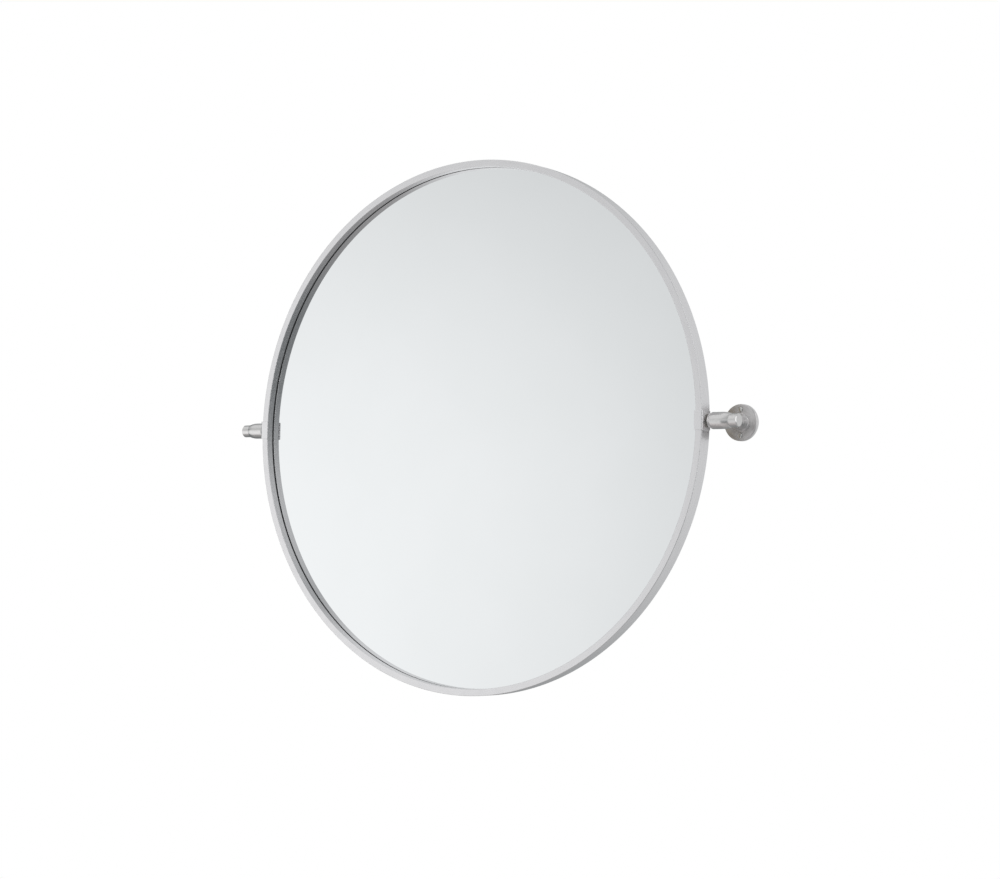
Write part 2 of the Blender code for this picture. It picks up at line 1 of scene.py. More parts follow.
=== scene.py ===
"""Fine meshes, finishes and studio for the pivot wall mirror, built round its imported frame.

Every piece of the mirror has a CAD node, which gives its place and size.  Here each node
gets a finer piece: rolled and turned steel with eased edges, real recesses, bent brackets,
threads, silvered glass and pressed board.  Units are metres, +Z is up, and the wall is the
plane Y = 0 with the room on its -Y side.
"""

import json
import math

import bmesh
import bpy
from mathutils import Matrix, Quaternion, Vector


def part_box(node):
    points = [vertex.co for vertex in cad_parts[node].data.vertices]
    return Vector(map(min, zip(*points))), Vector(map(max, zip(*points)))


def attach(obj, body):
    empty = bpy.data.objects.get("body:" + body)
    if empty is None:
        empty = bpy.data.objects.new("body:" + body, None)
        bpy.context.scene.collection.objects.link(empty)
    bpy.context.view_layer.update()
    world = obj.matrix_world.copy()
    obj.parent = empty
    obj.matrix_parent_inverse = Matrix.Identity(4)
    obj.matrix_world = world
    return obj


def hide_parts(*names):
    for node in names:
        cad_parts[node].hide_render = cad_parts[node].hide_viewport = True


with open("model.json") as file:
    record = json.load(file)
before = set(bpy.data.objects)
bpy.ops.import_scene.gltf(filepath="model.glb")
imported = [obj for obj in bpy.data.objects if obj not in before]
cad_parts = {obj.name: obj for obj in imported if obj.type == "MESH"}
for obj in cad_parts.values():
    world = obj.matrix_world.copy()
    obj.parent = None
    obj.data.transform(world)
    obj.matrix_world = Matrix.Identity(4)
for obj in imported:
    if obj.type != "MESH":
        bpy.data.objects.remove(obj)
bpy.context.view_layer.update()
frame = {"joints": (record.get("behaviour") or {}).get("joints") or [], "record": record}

MM = 0.001
TOUCH = 0.05 * MM                    # gap between finished pieces that meet

# ---- dimensions that the nodes' boxes don't give ------------------------------------
RIM_WALL = 1.6 * MM
LIP_WIDTH = 9.5 * MM
LIP_DEPTH = 11.6 * MM
TAB_SIZE = 16.0 * MM
TAB_THICK = 1.5 * MM
TAB_COUNT = 8

BRACKET = 1.5 * MM
BRACKET_FOLD = 1.2 * MM              # fold radius at mid thickness
BRACKET_OVERHANG = 1.5 * MM          # past the inner edge of the ring
BRACKET_NECK = 16.0 * MM
BRACKET_REACH = 3.5 * MM             # full-height web, behind the pivot axis

FLANGE_THICK = 6.0 * MM
BOSS_RADIUS = 13.0 * MM
BOSS_HEIGHT = 1.5 * MM
SPIGOT_RADIUS = 6.0 * MM
SPIGOT_LENGTH = 10.0 * MM
BORE_RADIUS = 4.05 * MM
COUNTERBORE = 7.0 * MM
BORE_FLOOR = 398.0 * MM              # along X, the step between bore and counterbore
BARREL_CHAMFER = 1.8 * MM            # at the mirror's end, on the radius
BARREL_CHAMFER_LENGTH = 4.4 * MM
BARREL_CONE = 409.5 * MM             # along X, where the barrel starts to taper
BARREL_TIP_RADIUS = 9.7 * MM
THREAD_M6 = 3.0 * MM                 # radius
PITCH_M6 = 1.0 * MM
LEAD_IN = 0.5 * MM                   # chamfer at the start of an M6 thread
PIN_RADIUS = 4.0 * MM
GRUB_RADIUS = 2.0 * MM
SWAGE_RADIUS = 4.4 * MM              # end of the pin, spread into a countersink in the bracket
SWAGE_DEPTH = 1.0 * MM

TAB_HOLE = 1.8 * MM                  # radii of the clearance holes
BRACKET_HOLE = 1.5 * MM
BOARD_HOLE = 1.6 * MM
SHEET_EDGE = 0.25 * MM               # how far the edges of cut sheet are eased
PANE_EDGE = 0.5 * MM
OVERRUN = 1.0 * MM                   # how far a drill runs past what it drills

RING_STEPS = 360
ROUND_STEPS = 96
SMALL_STEPS = 48
HEXAGON = 6
ARC_STEPS = 5                        # points that round one corner of a profile
SMOOTH_ANGLE = 32                    # degrees; sharper edges of a round piece stay crisp
FLAT_ANGLE = 10                      # the same for panes
EASED_ANGLE = 40                     # sharper edges of a sheet are bevelled
MERGE = 0.001 * MM                   # points nearer than this become one

FACING = {
    "front": Matrix.Rotation(math.radians(90), 4, "X"),
    "wall": Matrix.Rotation(math.radians(-90), 4, "X"),
    "down": Matrix.Rotation(math.radians(180), 4, "X"),
    "right": Matrix.Rotation(math.radians(90), 4, "Y"),
    "left": Matrix.Rotation(math.radians(-90), 4, "Y"),
}
FOLDED = {                           # a bracket's local Z faces the wall on both sides
    "right": FACING["wall"],
    "left": Matrix.Rotation(math.radians(180), 4, "Y") @ FACING["wall"],
}
SIDES = ("right", "left")
LEVELS = ("upper", "lower")

BODY_OF = {
    node: body
    for body, nodes in frame["record"]["behaviour"]["bodies"].items()
    for node in nodes
}


# ---- places from the frame ----------------------------------------------------------
def middle(node):
    low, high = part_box(node)
    return (low + high) / 2


def extent(node):
    low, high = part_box(node)
    return high - low


PIVOT = Vector(frame["joints"][0]["pos_m"])
RIM_RADIUS = extent("frame_ring").x / 2
RIM_DEPTH = extent("frame_ring").y
RING_CENTRE = middle("frame_ring")
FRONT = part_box("frame_ring")[0].y
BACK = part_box("frame_ring")[1].y


# ---- mesh helpers -------------------------------------------------------------------
def eased(points):
    """An outline of (a, b, radius) points, with each corner rounded to its radius."""
    outline = []
    count = len(points)
    for i, (a, b, radius) in enumerate(points):
        corner = Vector((a, b))
        if radius == 0:
            outline.append(corner)
            continue
        back = (Vector(points[i - 1][:2]) - corner).normalized()
        ahead = (Vector(points[(i + 1) % count][:2]) - corner).normalized()
        half = back.angle(ahead) / 2
        centre = corner + (back + ahead).normalized() * (radius / math.sin(half))
        start = corner + back * (radius / math.tan(half))
        end = corner + ahead * (radius / math.tan(half))
        for k in range(ARC_STEPS + 1):
            spoke = start.lerp(end, k / ARC_STEPS) - centre
            outline.append(centre + spoke.normalized() * radius)
    return [tuple(point) for point in outline]


def mesh_object(name, mesh):
    made = bpy.data.objects.new(name, mesh)
    bpy.context.scene.collection.objects.link(made)
    return made


def settled(shape):
    """The evaluated mesh of a construction object, which is then removed."""
    bpy.context.view_layer.update()
    graph = bpy.context.evaluated_depsgraph_get()
    mesh = bpy.data.meshes.new_from_object(shape.evaluated_get(graph))
    mesh.name = shape.name
    bpy.data.objects.remove(shape, do_unlink=True)
    return mesh


def turned(name, profile, steps=ROUND_STEPS):
    """Spin (radius, height) points, given down the outer side, round local Z."""
    mesh = bpy.data.meshes.new(name)
    edges = [(i, i + 1) for i in range(len(profile) - 1)]
    if profile[0][0] > 0:
        edges.append((len(profile) - 1, 0))
    mesh.from_pydata([(radius, 0.0, height) for radius, height in profile], edges, [])
    shape = mesh_object(name, mesh)
    spin = shape.modifiers.new("Spin", "SCREW")
    spin.axis = "Z"
    spin.angle = math.tau
    spin.steps = steps
    spin.render_steps = steps
    spin.use_merge_vertices = True
    spin.merge_threshold = MERGE
    return settled(shape)


def prism(name, outline, low, high):
    """A closed outline in local XY, counter-clockwise, solid from LOW to HIGH along Z."""
    form = bmesh.new()
    base = [form.verts.new((x, y, low)) for x, y in outline]
    face = form.faces.new(base)
    raised = bmesh.ops.extrude_face_region(form, geom=[face])
    top = [v for v in raised["geom"] if isinstance(v, bmesh.types.BMVert)]
    bmesh.ops.translate(form, vec=(0, 0, high - low), verts=top)
    bmesh.ops.recalc_face_normals(form, faces=form.faces)
    mesh = bpy.data.meshes.new(name)
    form.to_mesh(mesh)
    form.free()
    return mesh


def rod(name, radius, low, high, steps=SMALL_STEPS):
    """A plain cylinder or prism, used only to drill and to join."""
    spots = [math.tau * i / steps for i in range(steps)]
    outline = [(radius * math.cos(spot), radius * math.sin(spot)) for spot in spots]
    return prism(name, outline, low, high)


def carved(mesh, tools, operation="DIFFERENCE"):
    """Cut the TOOLS, (mesh, matrix) pairs, out of MESH, or join them to it."""
    body = mesh_object(mesh.name, mesh)
    helpers = []
    for tool_mesh, matrix in tools:
        tool = mesh_object("tool", tool_mesh)
        tool.matrix_world = matrix
        step = body.modifiers.new("Step", "BOOLEAN")
        step.operation = operation
        step.solver = "EXACT"
        step.object = tool
        helpers.append(tool)
    made = settled(body)
    for tool in helpers:
        bpy.data.objects.remove(tool, do_unlink=True)
    return made


def bevelled(mesh, width):
    """Ease every hard edge of MESH by WIDTH."""
    shape = mesh_object(mesh.name, mesh)
    ease = shape.modifiers.new("Ease", "BEVEL")
    ease.width = width
    ease.segments = 3
    ease.limit_method = "ANGLE"
    ease.angle_limit = math.radians(EASED_ANGLE)
    return settled(shape)


def finished(mesh, angle=SMOOTH_ANGLE):
    """Shade flats flat and rounds round; edges sharper than ANGLE degrees stay crisp."""
    mesh.shade_smooth()
    mesh.set_sharp_from_angle(angle=math.radians(angle))
    shape = mesh_object(mesh.name, mesh)
    even = shape.modifiers.new("Even", "WEIGHTED_NORMAL")
    even.keep_sharp = True
    return settled(shape)


def at(x=0.0, y=0.0, z=0.0):
    return Matrix.Translation((x, y, z))


def stand_in(node, mesh, finish, place, turn):
    """Put MESH in for a CAD node, on the node's own body."""
    piece = mesh_object(f"{node}_finished", mesh)
    piece.matrix_world = Matrix.Translation(place) @ turn
    if not mesh.materials:
        mesh.materials.append(finish)
    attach(piece, BODY_OF[node])
    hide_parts(node)


# ---- node helpers -------------------------------------------------------------------
NOISE_LOW = 0.3                      # nearly all of a noise lies between these two
NOISE_HIGH = 0.7


def add(tree, kind, sockets=(), **settings):
    """Add a node; SOCKETS maps an input to another node's output or to a constant."""
    made = tree.nodes.new(kind)
    for name, value in settings.items():
        setattr(made, name, value)
    for key, value in dict(sockets).items():
        if isinstance(value, bpy.types.NodeSocket):
            tree.links.new(value, made.inputs[key])
        else:
            made.inputs[key].default_value = value
    return made


def maths(tree, operation, first, second=0.0):
    return add(tree, "ShaderNodeMath", {0: first, 1: second}, operation=operation).outputs[0]


def ramp(tree, value, stops):
    """A colour ramp through (position, colour) stops."""
    made = add(tree, "ShaderNodeValToRGB", {"Fac": value})
    marks = made.color_ramp.elements
    while len(marks) < len(stops):
        marks.new(0.5)
    for mark, (position, colour) in zip(marks, stops):
        mark.position = position
        mark.color = (*colour, 1.0)
    return made.outputs["Color"]


def spread(tree, value, low, high, start=NOISE_LOW, stop=NOISE_HIGH):
    """Map a noise value from START..STOP to LOW..HIGH."""
    sockets = {"Value": value, "From Min": start, "From Max": stop, "To Min": low, "To Max": high}
    return add(tree, "ShaderNodeMapRange", sockets).outputs["Result"]


def surface(name, constants):
    """A Principled material whose uniform values sit on the shader's own sockets."""
    made = bpy.data.materials.new(name)
    made.use_nodes = True
    shader = made.node_tree.nodes["Principled BSDF"]
    for socket, value in constants.items():
        shader.inputs[socket].default_value = value
    return made, made.node_tree, shader


def local_spot(tree):
    """Place on the piece, in the piece's own coordinates."""
    return add(tree, "ShaderNodeTexCoord").outputs["Object"]


def noise(tree, vector, scale, detail, **sockets):
    """SCALE lumps to a metre of VECTOR; SOCKETS sets the noise's other inputs."""
    return add(tree, "ShaderNodeTexNoise",
               {"Vector": vector, "Scale": scale, "Detail": detail, **sockets}).outputs["Fac"]


def two_tone(tree, shader, value, dark, light):
    """Colour the surface from DARK to LIGHT over the range of a noise."""
    tone = ramp(tree, value, [(NOISE_LOW, dark), (NOISE_HIGH, light)])
    tree.links.new(tone, shader.inputs["Base Color"])


def relief(tree, shader, height, strength, depth):
    made = add(tree, "ShaderNodeBump",
               {"Height": height, "Strength": strength, "Distance": depth})
    tree.links.new(made.outputs["Normal"], shader.inputs["Normal"])


def shades(colour, contrast):
    """A darker and a lighter version of COLOUR."""
    return [tuple(c * (1 + side * contrast) for c in colour) for side in (-1, 1)]


# ---- finishes -----------------------------------------------------------------------
def around_axis(tree, across):
    """Coordinates that change ACROSS times a metre over a turned surface, slowly round it."""
    local = local_spot(tree)
    flat = add(tree, "ShaderNodeVectorMath", {0: local, 1: (1, 1, 0)}, operation="MULTIPLY")
    radius = add(tree, "ShaderNodeVectorMath", {0: flat.outputs[0]}, operation="LENGTH")
    round_it = add(tree, "ShaderNodeVectorMath", {0: flat.outputs[0]}, operation="NORMALIZE")
    swing = add(tree, "ShaderNodeSeparateXYZ", {0: round_it.outputs[0]})
    height = add(tree, "ShaderNodeSeparateXYZ", {0: local}).outputs["Z"]
    vector = add(tree, "ShaderNodeCombineXYZ", {
        "X": swing.outputs["X"], "Y": swing.outputs["Y"],
        "Z": maths(tree, "MULTIPLY", radius.outputs["Value"], across)})
    return vector.outputs[0], maths(tree, "MULTIPLY", height, across)


HAIRLINE = 0.02 * MM                 # depth of the brush lines in steel
CLOUD_VARIES = 0.03                  # how much roughness changes from patch to patch


def brush_roughness(tree, shader, roughness, lines, line_varies, cloud_scale):
    """Roughness that changes from line to line by LINE_VARIES, and in wide patches."""
    cloud = noise(tree, local_spot(tree), cloud_scale, 3.0)
    rough = maths(tree, "ADD", spread(tree, lines, -line_varies, line_varies),
                  spread(tree, cloud, roughness - CLOUD_VARIES, roughness + CLOUD_VARIES))
    tree.links.new(rough, shader.inputs["Roughness"])


def brushed(name, colour, roughness, across, around, contrast, stretch):
    """Steel brushed or turned round local Z, with lines ACROSS times a metre."""
    made, tree, shader = surface(name, {"Metallic": 1.0, "Anisotropic": stretch})
    grain = add(tree, "ShaderNodeTangent", direction_type="RADIAL", axis="Z")
    tree.links.new(grain.outputs[0], shader.inputs["Tangent"])
    vector, height = around_axis(tree, across)
    vector = add(tree, "ShaderNodeVectorMath",
                 {0: vector, 1: (around, around, 1.0)}, operation="MULTIPLY").outputs[0]
    lines = add(tree, "ShaderNodeTexNoise",
                {"Vector": vector, "W": height, "Scale": 1.0, "Detail": 5.0, "Roughness": 0.62},
                noise_dimensions="4D").outputs["Fac"]
    dark, light = shades(colour, contrast)
    tree.links.new(ramp(tree, lines, [(0.28, dark), (0.72, light)]), shader.inputs["Base Color"])
    brush_roughness(tree, shader, roughness, lines, 0.04, 60.0)
    relief(tree, shader, lines, 0.25, HAIRLINE)
    return made


def straight_brushed(name, colour, roughness, across, contrast):
    """Sheet steel brushed along local Y, with lines ACROSS times a metre."""
    made, tree, shader = surface(name, {"Metallic": 1.0})
    along = 0.06 * across
    drawn_out = add(tree, "ShaderNodeMapping",
                    {"Vector": local_spot(tree), "Scale": (across, along, across)}).outputs[0]
    lines = noise(tree, drawn_out, 1.0, 4.0, Roughness=0.6)
    two_tone(tree, shader, lines, *shades(colour, contrast))
    brush_roughness(tree, shader, roughness, lines, 0.05, 90.0)
    relief(tree, shader, lines, 0.3, HAIRLINE)
    return made


def mirror_silver():
    made, tree, shader = surface("mirror_silver", {"Metallic": 1.0})
    haze = noise(tree, local_spot(tree), 7.0, 2.0)
    two_tone(tree, shader, haze, (0.885, 0.895, 0.900), (0.900, 0.908, 0.915))
    tree.links.new(spread(tree, haze, 0.012, 0.024), shader.inputs["Roughness"])
    return made


def glass_edge():
    made, tree, shader = surface("glass_edge", {"IOR": 1.52, "Roughness": 0.12})
    grind = noise(tree, local_spot(tree), 900.0, 2.0)
    two_tone(tree, shader, grind, (0.10, 0.22, 0.17), (0.20, 0.36, 0.29))
    return made


def backing_paint():
    made, tree, shader = surface("backing_paint", {"Roughness": 0.55})
    spray = noise(tree, local_spot(tree), 500.0, 3.0)
    two_tone(tree, shader, spray, (0.16, 0.17, 0.18), (0.22, 0.23, 0.24))
    relief(tree, shader, spray, 0.2, 0.05 * MM)
    return made


def moulded(name, colour, roughness, grain):
    """Rubber or nylon as it comes from the mould, GRAIN bumps to the metre."""
    made, tree, shader = surface(name, {"Specular IOR Level": 0.4})
    skin = noise(tree, local_spot(tree), grain, 4.0)
    two_tone(tree, shader, skin, *shades(colour, 0.2))
    tree.links.new(spread(tree, skin, roughness - 0.08, roughness + 0.08),
                   shader.inputs["Roughness"])
    relief(tree, shader, skin, 0.3, 0.04 * MM)
    return made


def pressed_board():
    """Pale fibreboard: matted fibres over a fine pressed mesh."""
    made, tree, shader = surface("pressed_board", {"Specular IOR Level": 0.3})
    local = local_spot(tree)
    fibres = noise(tree, local, 420.0, 6.0, Roughness=0.7, Distortion=1.2)
    blotches = noise(tree, local, 14.0, 4.0)
    flecks = add(tree, "ShaderNodeTexVoronoi",
                 {"Vector": local, "Scale": 260.0}).outputs["Distance"]
    mesh_x, mesh_y = (
        add(tree, "ShaderNodeTexWave", {"Vector": local, "Scale": 90.0},
            bands_direction=direction).outputs["Fac"]
        for direction in ("X", "Y"))
    matted = maths(tree, "ADD", maths(tree, "MULTIPLY", fibres, 0.75),
                   maths(tree, "MULTIPLY", blotches, 0.25))
    tone = ramp(tree, matted, [
        (0.32, (0.38, 0.33, 0.27)), (0.50, (0.49, 0.44, 0.37)), (0.68, (0.60, 0.55, 0.48))])
    speck = ramp(tree, flecks, [(0.05, (0.55, 0.50, 0.45)), (0.16, (1.0, 1.0, 1.0))])
    mixed = add(tree, "ShaderNodeMix", {"Factor": 0.5, 6: tone, 7: speck},
                data_type="RGBA", blend_type="MULTIPLY")
    tree.links.new(mixed.outputs[2], shader.inputs["Base Color"])
    tree.links.new(spread(tree, fibres, 0.66, 0.86), shader.inputs["Roughness"])
    weave = maths(tree, "MULTIPLY", mesh_x, mesh_y)
    relief(tree, shader, maths(tree, "ADD", fibres, maths(tree, "MULTIPLY", weave, 0.5)),
           0.5, 0.25 * MM)
    return made


FRAME_STEEL = brushed("frame_steel_brushed", (0.815, 0.80, 0.81), 0.26, 900.0, 9.0, 0.05, 0.45)
SHEET_STEEL = straight_brushed("bracket_steel_brushed", (0.83, 0.815, 0.825), 0.25, 1500.0, 0.05)
TURNED_STEEL = brushed("fitting_steel_turned", (0.73, 0.715, 0.71), 0.23, 2600.0, 3.0, 0.07, 0.4)
POST_STEEL = brushed("post_steel_turned", (0.88, 0.87, 0.87), 0.18, 2600.0, 3.0, 0.05, 0.2)
FLANGE_STEEL = brushed("flange_steel_turned", (0.76, 0.74, 0.74), 0.30, 1100.0, 2.5, 0.22, 0.3)
SCREW_STEEL = brushed("screw_steel_rolled", (0.88, 0.87, 0.85), 0.15, 4000.0, 2.0, 0.10, 0.2)
SILVER = mirror_silver()
GLASS_EDGE = glass_edge()
PAINT = backing_paint()
RUBBER = moulded("black_rubber_moulded", (0.045, 0.045, 0.047), 0.60, 2200.0)
NYLON = moulded("nylon_moulded", (0.62, 0.60, 0.55), 0.42, 1500.0)
BOARD = pressed_board()


# ---- turned details -----------------------------------------------------------------
THREAD_FLAT = 0.12                   # half the width of a thread's crest, as a share of pitch


def thread(radius, top, bottom, pitch):
    """Profile points down a threaded shank: V grooves, PITCH apart."""
    root = radius - pitch / 2
    points = [(radius, top)]
    for i in range(int((top - bottom) / pitch)):
        crest = top - i * pitch
        points.append((radius, crest - THREAD_FLAT * pitch))
        points.append((root, crest - pitch / 2))
        points.append((radius, crest - (1 - THREAD_FLAT) * pitch))
    points.append((root, bottom))
    return points


def cross_recess(width, length, depth, top):
    """A plus-shaped tool, full size near TOP, that narrows as it goes DEPTH below it."""
    wide, narrow = 1.35, 0.62
    form = bmesh.new()
    rings = []
    for height, share in ((top + depth, wide), (top - depth, narrow)):
        half = width / 2 * share
        arm = length / 2 * share
        corners = [
            (half, half), (half, arm), (-half, arm), (-half, half), (-arm, half), (-arm, -half),
            (-half, -half), (-half, -arm), (half, -arm), (half, -half), (arm, -half), (arm, half)]
        rings.append([form.verts.new((x, y, height)) for x, y in corners])
    upper, lower = rings
    form.faces.new(upper)
    form.faces.new(lower[::-1])
    for i in range(len(upper)):
        j = (i + 1) % len(upper)
        form.faces.new((upper[i], lower[i], lower[j], upper[j]))
    bmesh.ops.recalc_face_normals(form, faces=form.faces)
    mesh = bpy.data.meshes.new("cross_recess")
    form.to_mesh(mesh)
    form.free()
    return mesh


DOME_POWER = 2.4                     # 2 would be a plain parabola; more is flatter on top


def dome(radius, base, rise, steps=8):
    """Profile points from the top of a dome on the axis down to its edge."""
    reaches = [i / steps for i in range(steps + 1)]
    return [(radius * reach, base + rise * (1 - reach ** DOME_POWER)) for reach in reaches]


def cross_head_screw(name, head_radius, head_height, shank_radius, shank_length, pitch):
    """A pan-head screw: the underside of its head at local Z = 0."""
    profile = dome(0.92 * head_radius, 0.45 * head_height, 0.55 * head_height)
    profile += [(head_radius, 0.25 * head_height), (head_radius, 0.0)]
    profile += thread(shank_radius, 0.0, -shank_length, pitch)
    profile += [(0.0, -shank_length)]
    blank = turned(name, profile, SMALL_STEPS)
    tool = cross_recess(width=0.30 * head_radius, length=1.15 * head_radius,
                        depth=0.62 * head_height, top=head_height)
    return finished(carved(blank, [(tool, at())]))


def pierced(mesh, radius, low, high, matrices):
    """Drill a straight hole of RADIUS along local Z of each of MATRICES."""
    drill = rod("drill", radius, low, high)
    return carved(mesh, [(drill, matrix) for matrix in matrices])


# ---- the mirror head ----------------------------------------------------------------
def on_ring(node):
    """A node's place in the ring's local XY plane."""
    spot = middle(node) - RING_CENTRE
    return spot.x, spot.z


def ring_section():
    outer = RIM_RADIUS
    inner = RIM_RADIUS - LIP_WIDTH
    return eased([
        (outer, 0.0, 0.7 * MM),
        (outer, -RIM_DEPTH, 0.35 * MM),
        (outer - RIM_WALL, -RIM_DEPTH, 0.35 * MM),
        (outer - RIM_WALL, -RIM_WALL, 0.6 * MM),
        (inner + RIM_WALL, -RIM_WALL, 0.6 * MM),
        (inner + RIM_WALL, -LIP_DEPTH, 0.35 * MM),
        (inner, -LIP_DEPTH, 0.35 * MM),
        (inner, 0.0, 0.5 * MM),
    ])


def tab_plate():
    """A welded tab, its hard corner in the ring's wall, drawn at the ring's +X side."""
    inner = RIM_RADIUS - TAB_SIZE - RIM_WALL
    outer = RIM_RADIUS - RIM_WALL / 2
    half = TAB_SIZE / 2
    outline = eased([
        (inner, -half, 3.0 * MM), (outer, -half, 0.0), (outer, half, 0.0), (inner, half, 3.0 * MM)])
    plate = prism("tab", outline, -RIM_DEPTH + TOUCH, -RIM_DEPTH + TAB_THICK + TOUCH)
    return bevelled(plate, SHEET_EDGE)


def make_ring():
    ring = turned("frame_ring", ring_section(), RING_STEPS)
    plate = tab_plate()
    lift = PIVOT.z - RING_CENTRE.z
    tabs = [(plate, at(y=lift)), (plate, at(y=lift) @ Matrix.Rotation(math.pi, 4, "Z"))]
    for i in range(TAB_COUNT):
        swing = math.tau * (i + 0.5) / TAB_COUNT
        tabs.append((plate, Matrix.Rotation(swing, 4, "Z")))
    ring = carved(ring, tabs, "UNION")
    below = -RIM_DEPTH - OVERRUN
    above = -RIM_DEPTH + 2 * TAB_THICK
    spots = [on_ring(f"tab_screw_{i + 1}") for i in range(TAB_COUNT)]
    ring = pierced(ring, TAB_HOLE, below, above, [at(x, y) for x, y in spots])
    spots = [on_ring(f"bracket_screw_{level}_{where}")
             for level in LEVELS for where in SIDES]
    ring = pierced(ring, BRACKET_HOLE, below, above, [at(x, y) for x, y in spots])
    stand_in("frame_ring", finished(ring), FRAME_STEEL,
             (RING_CENTRE.x, FRONT, RING_CENTRE.z), FACING["front"])


def pane_place(node):
    return RING_CENTRE.x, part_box(node)[0].y, RING_CENTRE.z


def pane_disc(node, edge):
    radius = extent(node).x / 2
    thick = extent(node).y
    profile = eased([(0.0, 0.0, 0.0), (radius, 0.0, edge), (radius, -thick, edge),
                     (0.0, -thick, 0.0)])
    return turned(node, profile, RING_STEPS)


def make_gasket():
    outer = extent("glazing_gasket").x / 2
    thick = extent("glazing_gasket").y
    inner = RIM_RADIUS - LIP_WIDTH + 0.2 * MM
    profile = eased([(outer, 0.0, 0.2 * MM), (outer, -thick, 0.2 * MM),
                     (inner, -thick, 0.2 * MM), (inner, 0.0, 0.6 * MM)])
    stand_in("glazing_gasket", finished(turned("glazing_gasket", profile, RING_STEPS)),
             RUBBER, pane_place("glazing_gasket"), FACING["front"])


def make_glass():
    """Silver in front, ground edge, painted back: one mesh with three finishes."""
    pane = pane_disc("mirror_glass", PANE_EDGE)
    for finish in (SILVER, GLASS_EDGE, PAINT):
        pane.materials.append(finish)
    for face in pane.polygons:
        if face.normal.z > 0.99:
            face.material_index = 0
        elif face.normal.z < -0.99:
            face.material_index = 2
        else:
            face.material_index = 1
    stand_in("mirror_glass", finished(pane, FLAT_ANGLE), SILVER,
             pane_place("mirror_glass"), FACING["front"])


def make_board():
    thick = extent("backing_board").y
    spots = [on_ring(f"tab_screw_{i + 1}") for i in range(TAB_COUNT)]
    hole_depth = 2.6 * MM
    board = pierced(pane_disc("backing_board", PANE_EDGE), BOARD_HOLE,
                    -thick - OVERRUN, -thick + hole_depth, [at(x, y) for x, y in spots])
    stand_in("backing_board", finished(board, FLAT_ANGLE), BOARD,
             pane_place("backing_board"), FACING["front"])


def make_tab_screws():
    screw = cross_head_screw("tab_screw", head_radius=3.0 * MM, head_height=1.8 * MM,
                             shank_radius=1.5 * MM, shank_length=4.4 * MM, pitch=0.9 * MM)
    for i in range(TAB_COUNT):
        node = f"tab_screw_{i + 1}"
        place = middle(node)
        place.y = BACK + TOUCH
        stand_in(node, screw, SCREW_STEEL, place, FACING["wall"])


def make_bumpers():
    radius = extent("wall_bumper_upper").x / 2
    height = extent("wall_bumper_upper").y
    shoulder = 0.93 * radius
    profile = dome(shoulder, 0.30 * height, 0.70 * height, steps=12)
    profile += eased([(shoulder, 0.30 * height, 0.0), (radius, 0.18 * height, 0.3 * MM),
                      (radius, 0.0, 0.2 * MM), (0.0, 0.0, 0.0)])[1:]
    bumper = finished(turned("wall_bumper", profile))
    for level in LEVELS:
        node = f"wall_bumper_{level}"
        place = middle(node)
        place.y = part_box(node)[0].y
        stand_in(node, bumper, RUBBER, place, FACING["wall"])


def folded(mesh, starts, radius):
    """Fold a flat sheet, drawn in local XY, up through 90 degrees from each X in STARTS."""
    bend = radius * math.pi / 2
    form = bmesh.new()
    form.from_mesh(mesh)
    for start in starts:
        for k in range(ARC_STEPS + 1):
            everything = form.verts[:] + form.edges[:] + form.faces[:]
            bmesh.ops.bisect_plane(form, geom=everything, dist=MERGE,
                                   plane_co=(start + bend * k / ARC_STEPS, 0, 0),
                                   plane_no=(1, 0, 0))
    for start in sorted(starts, reverse=True):
        for vertex in form.verts:
            x, y, z = vertex.co
            if x > start:
                turn = min((x - start) / radius, math.pi / 2)
                past = max(x - start - bend, 0.0)
                vertex.co.x = start + (radius - z) * math.sin(turn) + past * math.cos(turn)
                vertex.co.z = radius - (radius - z) * math.cos(turn) + past * math.sin(turn)
    form.to_mesh(mesh)
    form.free()
    return mesh


